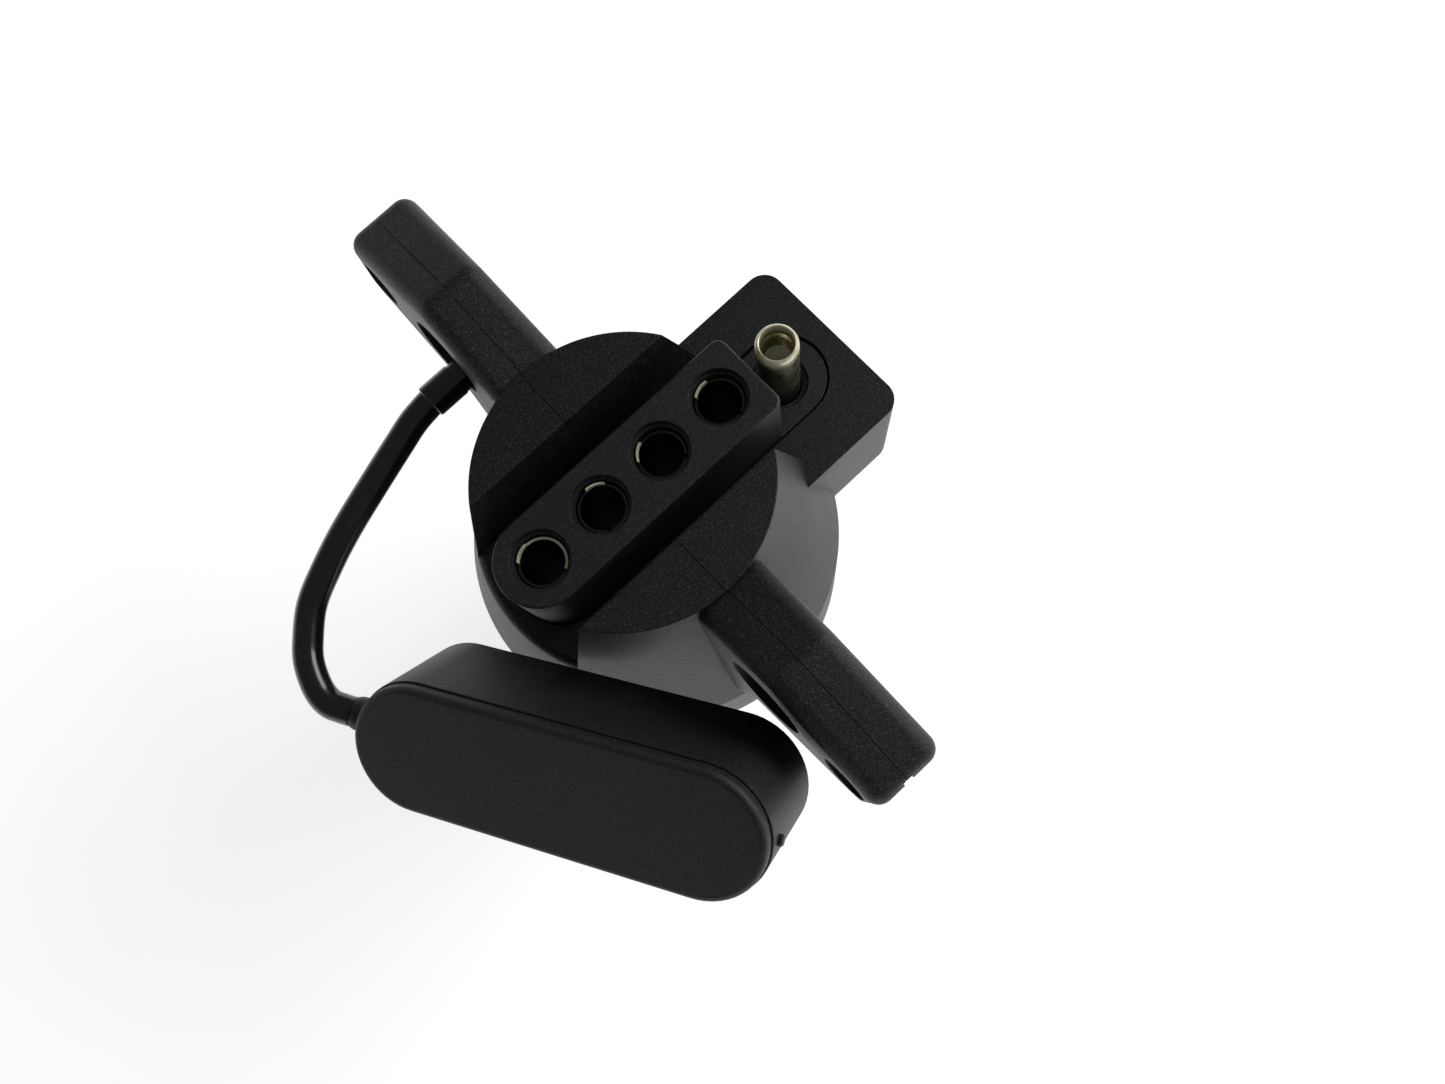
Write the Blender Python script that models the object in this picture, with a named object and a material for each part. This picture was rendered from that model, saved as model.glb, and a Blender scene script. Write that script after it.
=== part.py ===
"""Trailer wiring adapter: a round seven-way plug that turns into a five-way flat connector.

The plug axis is Z. The plug end stands at z = 0, the flat connector faces +Z, its five
contacts stand in a row along X, and the two pull wings reach out along Y. Sizes are in
millimetres; MM turns them into metres where a mesh is made.
"""
import math

import bmesh
import bpy
from mathutils import Euler, Matrix, Vector
from mathutils.geometry import interpolate_bezier

MM = 0.001
GAP = 0.3                        # clearance kept between neighbouring solids

# Round body: heights up the plug axis, and the radius there
SHOULDER = 30.0                  # underside of the wide skirt, where the plug stops
SKIRT_TOP = 52.0
FLOOR = 69.2                     # floor of the channel that holds the flat connector
LAND_TOP = 86.5                  # the two raised lands beside the channel
BARREL_R = 22.3
BORE_R = 20.0
SKIRT_R = 30.3
FLOOR_R = 25.4
LAND_R = 21.15
WALL = 2.6
KEY_RIB = (2.5, 1.6)             # half width and height of the plug's locating rib
LID_CATCH = (4.0, 2.5, 40.0)     # half width, reach and height of the nib a socket lid hooks on

# Flat connector
PITCH = 11.1125                  # seven sixteenths of an inch
FIRST_SOCKET_X = -15.6
PIN_X = FIRST_SOCKET_X + 4 * PITCH
SOCKETS = ("reverse", "right", "left", "tail")
TAB_ANGLES = (116, 66, 134, 106)  # the way each rolled contact happens to be turned
BLOCK_TOP = 84.0
INSERT_HALF_WIDTH = 6.75
BLOCK_END_X = 23.9
PLATFORM_END_X = 29.7            # centre of the platform's round end
PLATFORM = FLOOR - GAP
CHANNEL_HALF_WIDTH = 11.4
SHELF = 60.5                     # underside of the channel floor
FLANGE = (63.3, 65.5)            # lip that holds the insert under the floor
FLANGE_REACH = 1.2
INSERT_FOOT = 58.0
TAIL_END = 56.0                  # where the contacts' solder tails end

# Rectangular extension under the bare pin
BOX_END_X = 40.2
BOX_HALF_WIDTH = 15.2
BOX_FOOT = 47.0

# Pull wings: (y, z) places in their side view
RIDGE = (34.7, 92.9)
WING_TIP = (52.5, 84.26, 2.5)    # centre and radius of the rounded end
WING_HALF_THICKNESS = 5.2        # at the ridge; the sides spread downwards
WING_DRAFT = 0.07
WING_SHIFT = 0.3                 # both wings stand a little towards the pin
OUTER_HOLE = (49.2, 80.6, 3.7)   # y, z, radius
INNER_HOLE = (34.2, 78.8, 6.5)
INNER_WEB = 1.4                  # half thickness of the wall across the inner hole
SWIVEL = (31.6, 76.8)            # the tether's swivel hole in that wall

# Plug insulator and its contacts
INSULATOR_R = 19.6
INSULATOR_TOP = 37.0
INSULATOR_FLANGE_R = 22.4
INSULATOR_FLANGE = (33.3, 35.9)
SLOT_RING_R = 13.2
SLOT = (9.8, 3.4, 27.0)          # length, width and depth of a blade slot
LUG_END = 39.5                   # where the plug contacts' tails end
BLADES = {"ground": -30, "tail": -150, "left": -90, "right": 90}

# Dust cap, its tether, and where they rest beside the cone
CAP_HALF_CENTRES = 21.0
CAP_HALF_WIDTH = 9.65
CAP_CAVITY = (20.9, 7.1)
CAP_DEPTH = 17.8
CAP_FACE = 2.4
CAP_PLACE = (-35.35, -24.1, 84.2)
CAP_TURN = (30.1, -11.1, -57.8)  # degrees about X, then Y, then Z
KNUCKLE = (-33.2, -6.0, 2.5)     # the cap's end knuckle: along, below the face, radius
CORD_R = 2.2
CORD_ROUTE = ((-12.8, 31.5, 76.8), (-16.0, 31.1, 76.6), (-19.8, 30.1, 76.3), (-26.9, 28.1, 75.8),
              (-34.0, 25.9, 75.4), (-39.6, 23.7, 75.0), (-44.6, 21.2, 74.6), (-48.3, 17.8, 74.2),
              (-50.5, 15.0, 73.9), (-51.9, 11.3, 73.6), (-52.0, 8.6, 73.3), (-51.1, 6.6, 73.0))
WIRE_R = 1.1

# The origin is the middle of the body's footprint, so the plug axis stands beside it
AXIS_X = -(BOX_END_X - SKIRT_R - LID_CATCH[1]) / 2

HOUSING_BLACK = (0.020, 0.021, 0.024)
INSERT_BLACK = (0.026, 0.027, 0.030)
RUBBER_BLACK = (0.014, 0.014, 0.015)
INSULATOR_BLACK = (0.030, 0.030, 0.032)
TINNED = (0.66, 0.63, 0.54)
BRASS = (0.72, 0.53, 0.23)


# ---------------------------------------------------------------- modelling tools
def clear_scene():
    for item in list(bpy.data.objects):
        bpy.data.objects.remove(item, do_unlink=True)


def link(name, data):
    item = bpy.data.objects.new(name, data)
    bpy.context.collection.objects.link(item)
    return item


def from_bmesh(name, bm):
    bmesh.ops.remove_doubles(bm, verts=bm.verts, dist=1e-7)
    bmesh.ops.recalc_face_normals(bm, faces=bm.faces)
    mesh = bpy.data.meshes.new(name)
    bm.to_mesh(mesh)
    bm.free()
    return link(name, mesh)


def turned(name, profile, segments):
    """Solid of revolution about Z: (radius, z) points from axis to axis, or a closed ring."""
    bm = bmesh.new()
    points = [bm.verts.new((r * MM, 0.0, z * MM)) for r, z in profile]
    edges = [bm.edges.new(pair) for pair in zip(points, points[1:])]
    if profile[0][0] > 0:
        edges.append(bm.edges.new((points[-1], points[0])))
    bmesh.ops.spin(bm, geom=points + edges, cent=(0, 0, 0), axis=(0, 0, 1),
                   angle=math.tau, steps=segments, use_duplicate=False)
    return from_bmesh(name, bm)


def rod(radius, low, high, segments=24):
    return turned("rod", [(0, low), (radius, low), (radius, high), (0, high)], segments)


def prism(name, outline, low, high):
    """A flat (x, y) outline carried straight up from low to high."""
    bm = bmesh.new()
    base = bm.faces.new([bm.verts.new((x * MM, y * MM, low * MM)) for x, y in outline])
    grown = bmesh.ops.extrude_face_region(bm, geom=[base])["geom"]
    top = [v for v in grown if isinstance(v, bmesh.types.BMVert)]
    bmesh.ops.translate(bm, verts=top, vec=(0, 0, (high - low) * MM))
    return from_bmesh(name, bm)


def block(low, high):
    outline = [(low[0], low[1]), (high[0], low[1]), (high[0], high[1]), (low[0], high[1])]
    return prism("block", outline, low[2], high[2])


def arc(cx, cy, radius, start, end, steps):
    """Points along an arc, its angles in degrees."""
    turn = (end - start) / steps
    return [(cx + radius * math.cos(math.radians(start + turn * i)),
             cy + radius * math.sin(math.radians(start + turn * i)))
            for i in range(steps + 1)]


def stadium(left, right, radius, steps=12):
    """Outline with round ends centred on (left, 0) and (right, 0)."""
    return arc(right, 0, radius, -90, 90, steps) + arc(left, 0, radius, 90, 270, steps)


def rounded_box(left, right, half_width, radius, steps=4):
    outline = []
    for cx, cy, start in ((right - radius, radius - half_width, -90),
                          (right - radius, half_width - radius, 0),
                          (left + radius, half_width - radius, 90),
                          (left + radius, radius - half_width, 180)):
        outline += arc(cx, cy, radius, start, start + 90, steps)
    return outline


def carve(item, tool, operation="DIFFERENCE"):
    """Cuts, joins or intersects two solids for good, and removes the second one."""
    step = item.modifiers.new("carve", "BOOLEAN")
    step.object = tool
    step.operation = operation
    view = bpy.context.evaluated_depsgraph_get()
    mesh = bpy.data.meshes.new_from_object(item.evaluated_get(view))
    item.modifiers.clear()
    item.data = mesh
    bpy.data.objects.remove(tool, do_unlink=True)
    return item


def fuse(item, *others):
    for other in others:
        carve(item, other, "UNION")
    return item


def round_edges(item, width, segments, chosen):
    """Rounds the edges that turn by more than 50 degrees and whose middle is chosen."""
    bm = bmesh.new()
    bm.from_mesh(item.data)
    edges = []
    for edge in bm.edges:
        middle = (edge.verts[0].co + edge.verts[1].co) / (2 * MM)
        if len(edge.link_faces) == 2 and edge.calc_face_angle() > math.radians(50) and chosen(middle):
            edges.append(edge)
    bmesh.ops.bevel(bm, geom=edges, offset=width * MM, segments=segments, profile=0.5,
                    affect="EDGES", clamp_overlap=True)
    bm.to_mesh(item.data)
    bm.free()
    return item


def place(item, matrix):
    item.data.transform(matrix)
    return item


def move(item, x=0.0, y=0.0, z=0.0):
    return place(item, Matrix.Translation(Vector((x, y, z)) * MM))


def turn(item, degrees, axis):
    return place(item, Matrix.Rotation(math.radians(degrees), 4, axis))


def finish_node(name, item, colour, roughness, metallic=0.0, axis_point=None):
    """Names a finished sub-part, sets its origin, gives it its own material and shades it."""
    origin = Vector(axis_point or (0, 0, 0)) * MM
    place(item, Matrix.Translation(-origin))
    item.location = origin + Vector((AXIS_X, 0, 0)) * MM
    item.name = name
    item.data.name = name
    skin = bpy.data.materials.new(name)
    skin.use_nodes = True
    shader = skin.node_tree.nodes["Principled BSDF"]
    shader.inputs["Base Color"].default_value = (*colour, 1.0)
    shader.inputs["Roughness"].default_value = roughness
    shader.inputs["Metallic"].default_value = metallic
    item.data.materials.clear()
    item.data.materials.append(skin)
    item.data.shade_smooth()
    item.data.set_sharp_from_angle(angle=math.radians(35))
    return item


def clean(item):
    """Merges the slivers that a chain of Booleans leaves, and keeps every face outward."""
    bm = bmesh.new()
    bm.from_mesh(item.data)
    bmesh.ops.remove_doubles(bm, verts=bm.verts, dist=4e-6)
    bmesh.ops.dissolve_degenerate(bm, dist=4e-6, edges=bm.edges)
    bmesh.ops.recalc_face_normals(bm, faces=bm.faces)
    bm.to_mesh(item.data)
    bm.free()
    return item


# ---------------------------------------------------------------- housing
def cone_radius(z):
    """Outer radius of the flared body above the skirt."""
    if z < FLOOR:
        return SKIRT_R + (FLOOR_R - SKIRT_R) * (z - SKIRT_TOP) / (FLOOR - SKIRT_TOP)
    return FLOOR_R + (LAND_R - FLOOR_R) * (z - FLOOR) / (LAND_TOP - FLOOR)


def round_body():
    """Barrel, skirt and flared cone, with the channel cut between the two lands."""
    body = turned("housing", [(0, 0), (BARREL_R, 0), (BARREL_R, SHOULDER), (SKIRT_R, SHOULDER),
                              (SKIRT_R, SKIRT_TOP), (FLOOR_R, FLOOR), (LAND_R, LAND_TOP),
                              (0, LAND_TOP)], 72)
    carve(body, block((-60, -CHANNEL_HALF_WIDTH, FLOOR), (60, CHANNEL_HALF_WIDTH, 100)))
    round_edges(body, 1.2, 3, lambda p: abs(p.z - FLOOR) < 0.1 and p.x < -20)
    return round_edges(body, 0.7, 2, lambda p: p.z > FLOOR + 1)


def pin_box():
    """Rectangular extension that carries the bare pin."""
    box = prism("box", rounded_box(8, BOX_END_X, BOX_HALF_WIDTH, 3.2), BOX_FOOT, FLOOR)
    return round_edges(box, 1.2, 3, lambda p: p.z > FLOOR - 0.1 and p.x > 9)


def pull_wing(side):
    """A drafted plate with a knee in its top edge; its root fades into the cone."""
    root = (12.0, LAND_TOP - 0.4 - 0.5 * (LAND_R - 12.0))
    outline = [root, RIDGE] + arc(*WING_TIP, 72, -20, 4)
    outline += [(54.2, 76.0), (52.0, 74.2), (43.0, 70.4), (34.0, 66.8), (29.6, 54.0), (12.0, 54.0)]
    plate = prism("wing", outline, -WING_HALF_THICKNESS, WING_HALF_THICKNESS)
    for vertex in plate.data.vertices:
        drop = RIDGE[1] - vertex.co.y / MM
        vertex.co.z *= 1 + WING_DRAFT * drop / WING_HALF_THICKNESS
    face = WING_HALF_THICKNESS - 0.5
    round_edges(plate, 2.3, 3, lambda p: abs(p.z) > face)
    place(plate, Matrix(((0, 0, 1, 0), (1, 0, 0, 0), (0, 1, 0, 0), (0, 0, 0, 1))))
    if side < 0:
        turn(plate, 180, "Z")
    return move(plate, WING_SHIFT)


def wing_hole(y, z, radius, low, high, segments=28):
    """Cutter along X for a hole through a wing."""
    return move(turn(rod(radius, low, high, segments), 90, "Y"), 0, y, z)


def housing():
    body = round_body()
    reach = BARREL_R + KEY_RIB[1]
    rib = block((-reach, -KEY_RIB[0], 0.8), (1 - BARREL_R, KEY_RIB[0], SHOULDER + 1))
    catch_low = LID_CATCH[2] - 1.5
    catch = block((-SKIRT_R - LID_CATCH[1], -LID_CATCH[0], catch_low),
                  (1 - SKIRT_R, LID_CATCH[0], catch_low + 3.0))
    round_edges(catch, 0.6, 1, lambda p: p.x < -SKIRT_R - 2)
    fuse(body, pin_box(), pull_wing(1), pull_wing(-1), rib, catch)

    flange_r = INSULATOR_FLANGE_R + GAP
    flange_low, flange_high = INSULATOR_FLANGE[0] - GAP, INSULATOR_FLANGE[1] + GAP
    cavity = turned("cavity", [(0, -1), (BORE_R, -1), (BORE_R, flange_low), (flange_r, flange_low),
                               (flange_r, flange_high), (BORE_R + 0.8, flange_high),
                               (BORE_R + 0.8, 38.2), (SKIRT_R - WALL, 39.0), (SKIRT_R - WALL, 50.5),
                               (cone_radius(SHELF) - WALL, SHELF), (0, SHELF)], 64)
    cores = turned("cores", [(0, SHELF - 2), (cone_radius(SHELF) - WALL - 0.2, SHELF - 2),
                             (FLOOR_R - WALL, FLOOR), (LAND_R - WALL + 0.5, LAND_TOP - WALL),
                             (0, LAND_TOP - WALL)], 56)
    wall_y = CHANNEL_HALF_WIDTH + WALL - 0.2
    carve(cores, block((-40, -wall_y, 50), (40, wall_y, 100)))
    box_hollow = block((12, WALL - BOX_HALF_WIDTH, BOX_FOOT + WALL),
                       (BOX_END_X - WALL, BOX_HALF_WIDTH - WALL, SHELF + 0.05))
    for tool in (cavity, cores, box_hollow):
        carve(body, tool)
    for grow, low, high in ((GAP, FLANGE[1], FLOOR + 2),
                            (FLANGE_REACH + GAP, FLANGE[0] - GAP, FLANGE[1] + GAP),
                            (GAP - 1.6, SHELF - 1, FLANGE[0])):
        outline = stadium(FIRST_SOCKET_X, PLATFORM_END_X, INSERT_HALF_WIDTH + grow)
        carve(body, prism("opening", outline, low, high))
    for side in (1, -1):
        carve(body, wing_hole(side * OUTER_HOLE[0], OUTER_HOLE[1], OUTER_HOLE[2], -12, 12, 24))
        for low, high in ((-14, -INNER_WEB), (INNER_WEB, 14)):
            carve(body, wing_hole(side * INNER_HOLE[0], INNER_HOLE[1], INNER_HOLE[2], low, high))
    carve(body, wing_hole(SWIVEL[0], SWIVEL[1], 1.55 + GAP, -3, 3, 16))
    return clean(body)


def split_housing():
    """The two shells meet on the plane X = 0 and are welded there."""
    plain = housing()
    box = link("half", plain.data.copy())
    carve(plain, block((-GAP / 2, -80, -10), (60, 80, 120)))
    carve(box, block((-60, -80, -10), (GAP / 2, 80, 120)))
    finish_node("housing_half_plain", clean(plain), HOUSING_BLACK, 0.5)
    finish_node("housing_half_box", clean(box), HOUSING_BLACK, 0.5)


# ---------------------------------------------------------------- flat connector
def flat_insert():
    """Platform and socket block in one moulding, with a lip under the channel floor."""
    parts = []
    for grow, low, high in ((0, FLANGE[1] - 0.5, PLATFORM), (FLANGE_REACH, *FLANGE),
                            (-1.6, INSERT_FOOT, FLANGE[0] + 0.5)):
        outline = stadium(FIRST_SOCKET_X, PLATFORM_END_X, INSERT_HALF_WIDTH + grow)
        parts.append(prism("insert", outline, low, high))
    outline = arc(FIRST_SOCKET_X, 0, INSERT_HALF_WIDTH, 90, 270, 12)
    corner = 1.5
    outline += arc(BLOCK_END_X - corner, corner - INSERT_HALF_WIDTH, corner, -90, 0, 3)
    outline += arc(BLOCK_END_X - corner, INSERT_HALF_WIDTH - corner, corner, 0, 90, 3)
    parts.append(prism("socket_block", outline, PLATFORM - 1.0, BLOCK_TOP))
    round_edges(parts[-1], 0.35, 1, lambda p: p.z > BLOCK_TOP - 0.1)
    insert = fuse(*parts)
    for i in range(len(SOCKETS)):
        x = FIRST_SOCKET_X + i * PITCH
        steps = [(0, 54), (1.6, 54), (1.6, 66.2), (3.85, 66.2), (3.85, 83.0), (4.25, 83.0),
                 (4.25, 86), (0, 86)]
        carve(insert, move(turned("socket", steps, 24), x))
    steps = [(0, 54), (1.6, 54), (1.6, 62.0), (3.5, 62.0), (3.5, 67.7), (4.5, 67.7), (4.5, 86), (0, 86)]
    carve(insert, move(turned("pin_hole", steps, 24), PIN_X))
    finish_node("flat_insert", clean(insert), INSERT_BLACK, 0.55)


def socket_contacts():
    """Four barrels rolled from thin tinned sheet: a seam down one side, a raised tab opposite."""
    outer, inner, rim, tab, tab_half_width = 3.55, 3.25, 82.0, 83.0, 1.4
    for i, circuit in enumerate(SOCKETS):
        profile = [(0, TAIL_END), (1.3, TAIL_END), (1.3, 66.5), (outer, 66.5), (outer, tab),
                   (inner, tab), (inner, 68.0), (0, 68.0)]
        contact = turned("contact", profile, 24)
        carve(contact, block((-5, -5, rim), (0, 5, 90)))
        for side in (-1, 1):
            low, high = sorted((side * tab_half_width, side * 5))
            carve(contact, block((-1, low, rim), (5, high, 90)))
        carve(contact, block((-5, -0.3, 70.5), (0, 0.3, 90)))
        turn(contact, TAB_ANGLES[i], "Z")
        move(contact, FIRST_SOCKET_X + i * PITCH)
        finish_node("socket_contact_" + circuit, clean(contact), TINNED, 0.3, 1.0)


def pin_contact():
    """Hollow bullet pin, left bare, that carries the ground."""
    profile = [(0, TAIL_END), (1.3, TAIL_END), (1.3, 62.3), (3.2, 62.3), (3.2, 83.7), (2.85, 84.5),
               (2.55, 84.5), (2.55, 82.2), (2.15, 81.6), (2.15, 70.0), (0, 70.0)]
    finish_node("pin_contact_ground", move(turned("pin", profile, 28), PIN_X), TINNED, 0.3, 1.0)


# ---------------------------------------------------------------- round plug
def plug_insulator():
    """Round carrier with six blade slots and a centre socket."""
    carrier = turned("carrier", [(0, 1), (INSULATOR_R, 1), (INSULATOR_R, INSULATOR_FLANGE[0]),
                                 (INSULATOR_FLANGE_R, INSULATOR_FLANGE[0]),
                                 (INSULATOR_FLANGE_R, INSULATOR_FLANGE[1]),
                                 (INSULATOR_R, INSULATOR_FLANGE[1]), (INSULATOR_R, INSULATOR_TOP),
                                 (0, INSULATOR_TOP)], 56)
    length, width, depth = SLOT
    for i in range(6):
        slot = block((SLOT_RING_R - width / 2, -length / 2, -1), (SLOT_RING_R + width / 2, length / 2, depth))
        hole = move(rod(WIRE_R + 0.4, depth - 1, 40, 14), SLOT_RING_R)
        for tool in (slot, hole):
            carve(carrier, turn(tool, 30 + 60 * i, "Z"))
    carve(carrier, turned("centre", [(0, -1), (3.6, -1), (3.6, depth), (1.5, depth), (1.5, 40), (0, 40)], 20))
    finish_node("plug_insulator", clean(carrier), INSULATOR_BLACK, 0.55)


def blade_contacts():
    """Folded brass strips that grip the socket's blades, each with a round tail."""
    top, mouth, leaf, half_gap = 26.7, 4.5, 0.5, 0.8
    outer = half_gap + leaf
    strip = [(-outer, mouth), (-half_gap, mouth), (-half_gap, top - leaf), (half_gap, top - leaf),
             (half_gap, mouth), (outer, mouth), (outer, top), (-outer, top)]
    for circuit, angle in BLADES.items():
        fold = turn(prism("fold", strip, -4.3, 4.3), 90, "X")
        fuse(fold, rod(WIRE_R, top - leaf / 2, LUG_END, 12))
        turn(move(fold, SLOT_RING_R), angle, "Z")
        finish_node("blade_contact_" + circuit, clean(fold), BRASS, 0.3, 1.0)


def centre_contact():
    profile = [(0, 24.0), (2.6, 24.0), (2.6, 4.0), (3.3, 4.0), (3.3, 26.7), (WIRE_R, 26.7),
               (WIRE_R, LUG_END), (0, LUG_END)]
    finish_node("centre_contact_reverse", turned("centre_contact", profile, 20), BRASS, 0.3, 1.0)


# ---------------------------------------------------------------- wires, tether and cap
def smooth_route(points, per_span):
    """Points on one smooth curve through the route's own points."""
    points = [Vector(p) for p in points]
    ends = [points[0] * 2 - points[1]] + points + [points[-1] * 2 - points[-2]]
    route = []
    for i in range(1, len(ends) - 2):
        start, end = ends[i], ends[i + 1]
        pull_out = (ends[i + 1] - ends[i - 1]) / 6
        pull_in = (ends[i + 2] - ends[i]) / 6
        route += interpolate_bezier(start, start + pull_out, end - pull_in, end, per_span + 1)[:-1]
    return route + [points[-1]]


def round_cable(name, points, radius, resolution, colour, roughness, axis_point=None):
    """A curve with a round bevel and closed ends, in the plug's frame."""
    origin = Vector(axis_point or (0, 0, 0))
    curve = bpy.data.curves.new(name, "CURVE")
    curve.dimensions = "3D"
    curve.bevel_depth = radius * MM
    curve.bevel_resolution = resolution
    curve.use_fill_caps = True
    line = curve.splines.new("POLY")
    line.points.add(len(points) - 1)
    for target, point in zip(line.points, points):
        target.co = (*((Vector(point) - origin) * MM), 1.0)
    skin = bpy.data.materials.new(name)
    skin.use_nodes = True
    skin.node_tree.nodes["Principled BSDF"].inputs["Base Color"].default_value = (*colour, 1.0)
    skin.node_tree.nodes["Principled BSDF"].inputs["Roughness"].default_value = roughness
    curve.materials.append(skin)
    item = link(name, curve)
    item.location = (origin + Vector((AXIS_X, 0, 0))) * MM
    return item


def wires():
    """Each wire leaves a flat contact's tail straight down and ends straight over its lug."""
    lugs = {name: (SLOT_RING_R * math.cos(math.radians(a)), SLOT_RING_R * math.sin(math.radians(a)))
            for name, a in BLADES.items()}
    lugs["reverse"] = (0.0, 0.0)
    colours = {"ground": (0.75, 0.75, 0.73), "tail": (0.16, 0.07, 0.03), "left": (0.75, 0.55, 0.03),
               "right": (0.02, 0.30, 0.07), "reverse": (0.22, 0.05, 0.33)}
    bow = {"left": -3.0, "tail": 0.8}
    high, low, steps, straight = TAIL_END - GAP, LUG_END + GAP, 10, 0.8
    for circuit, colour in colours.items():
        x = PIN_X if circuit == "ground" else FIRST_SOCKET_X + SOCKETS.index(circuit) * PITCH
        end = lugs[circuit]
        route = [(x, 0, high)]
        for i in range(steps + 1):
            t = i / steps
            ease = t * t * (3 - 2 * t)
            drop = straight + (high - low - 2 * straight) * t
            sideways = bow.get(circuit, 0) * math.sin(math.pi * ease)
            route.append((x + (end[0] - x) * ease, end[1] * ease + sideways, high - drop))
        route.append((*end, low))
        round_cable("wire_" + circuit, route, WIRE_R, 2, colour, 0.4)


def tether_plug():
    """Moulded end of the tether: a sleeve, a neck through the wing's web and a button head."""
    neck = INNER_WEB + GAP
    profile = [(0, -3.9), (2.3, -3.9), (2.9, -3.3), (2.9, -neck), (1.55, -neck), (1.55, neck),
               (2.6, neck), (2.6, 11.9), (2.3, 12.3), (0, 12.3)]
    plug = turn(turned("tether_plug", profile, 20), -90, "Y")
    move(plug, 0, *SWIVEL)
    finish_node("tether_plug", plug, RUBBER_BLACK, 0.25, axis_point=(0, *SWIVEL))


def dust_cap():
    """Oblong cap that fits over the socket block and pin, open underneath."""
    shell = prism("cap", stadium(-CAP_HALF_CENTRES, CAP_HALF_CENTRES, CAP_HALF_WIDTH, 10), -CAP_DEPTH, 0)
    round_edges(shell, 1.2, 3, lambda p: p.z > -0.1)
    round_edges(shell, 0.4, 1, lambda p: p.z < 0.1 - CAP_DEPTH)
    along, below, radius = KNUCKLE
    bm = bmesh.new()
    bmesh.ops.create_icosphere(bm, subdivisions=2, radius=radius * MM)
    knuckle = move(from_bmesh("knuckle", bm), along, 0, below)
    neck = block((along, -1.8, below - 1.6), (1.5 - CAP_HALF_CENTRES - CAP_HALF_WIDTH, 1.8, below + 1.6))
    fuse(shell, neck, knuckle)
    half_centres, half_width = CAP_CAVITY
    carve(shell, prism("hollow", stadium(-half_centres, half_centres, half_width, 10),
                       -CAP_DEPTH - 1, -CAP_FACE))
    turned_to = Euler([math.radians(a) for a in CAP_TURN]).to_matrix().to_4x4()
    to_rest = Matrix.Translation(Vector(CAP_PLACE) * MM) @ turned_to
    place(clean(shell), to_rest)
    pivot = (to_rest @ (Vector((along, 0, below)) * MM)) / MM
    finish_node("dust_cap", shell, RUBBER_BLACK, 0.6, axis_point=pivot)


clear_scene()
split_housing()
flat_insert()
socket_contacts()
pin_contact()
plug_insulator()
blade_contacts()
centre_contact()
wires()
tether_plug()
round_cable("tether_cord", smooth_route(CORD_ROUTE, 3), CORD_R, 3, RUBBER_BLACK, 0.25, (0, *SWIVEL))
dust_cap()
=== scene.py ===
# Trailer wiring adapter: a round seven-way plug whose back is a five-way flat connector,
# with two pull wings and an oblong dust cap on a moulded tether. Sizes here are in
# millimetres about the plug's axis, as the frame gives it, unless a comment says otherwise.
import math

import bmesh
import bpy
from mathutils import Euler, Matrix, Vector
from mathutils.geometry import interpolate_bezier


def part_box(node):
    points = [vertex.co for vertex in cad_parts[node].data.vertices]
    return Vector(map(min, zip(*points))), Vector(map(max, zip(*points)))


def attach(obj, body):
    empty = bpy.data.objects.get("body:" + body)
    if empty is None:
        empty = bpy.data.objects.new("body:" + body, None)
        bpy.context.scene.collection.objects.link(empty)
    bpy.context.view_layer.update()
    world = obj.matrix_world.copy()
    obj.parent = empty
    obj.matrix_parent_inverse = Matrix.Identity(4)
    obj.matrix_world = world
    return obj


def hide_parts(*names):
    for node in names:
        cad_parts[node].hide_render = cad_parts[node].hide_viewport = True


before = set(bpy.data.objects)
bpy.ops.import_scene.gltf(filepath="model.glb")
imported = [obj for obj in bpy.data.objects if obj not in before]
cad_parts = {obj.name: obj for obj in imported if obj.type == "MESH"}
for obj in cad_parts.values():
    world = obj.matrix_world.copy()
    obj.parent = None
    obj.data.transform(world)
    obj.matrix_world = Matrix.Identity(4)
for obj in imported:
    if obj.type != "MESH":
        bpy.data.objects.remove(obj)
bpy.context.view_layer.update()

# ---------------------------------------------------------------- room and camera
# A pale table, lit a little from below, under soft studio light. The camera looks down on the
# flat connector from close by, turned so that the row of contacts runs up to the right.
MM = 0.001
carrier_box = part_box("plug_insulator")
AXIS_X = (carrier_box[0][0] + carrier_box[1][0]) / (2 * MM)
EYE_FROM_AXIS, EYE_LOOKS_BACK, EYE_ROLL = (-9.83, -46.31, 234.33), (-0.0905, -0.2003, 0.9756), -43.83
LENS, SENSOR_WIDTH = 28.4, 36.0
TABLE_COLOUR, TABLE_ROUGHNESS, TABLE_GLOW = (0.86, 0.86, 0.86), 0.6, 0.74
LAMP_PLACE, LAMP_SIZE, LAMP_WATTS = (0.85, -0.25, 0.60), (0.7, 0.5), 6.0
WALL_GLOW, CEILING_GLOW, CEILING_STARTS = 0.50, 0.15, 0.30


def soft_box(name, place, size, watts):
    """A rectangular lamp that faces the middle of the part."""
    lamp = bpy.data.lights.new(name, "AREA")
    lamp.shape = "RECTANGLE"
    lamp.size, lamp.size_y = size
    lamp.energy = watts
    item = bpy.data.objects.new(name, lamp)
    bpy.context.collection.objects.link(item)
    item.location = Vector(place)
    to_part = Vector((0.0, 0.0, 0.06)) - item.location
    item.rotation_euler = to_part.to_track_quat("-Z", "Y").to_euler()


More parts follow.
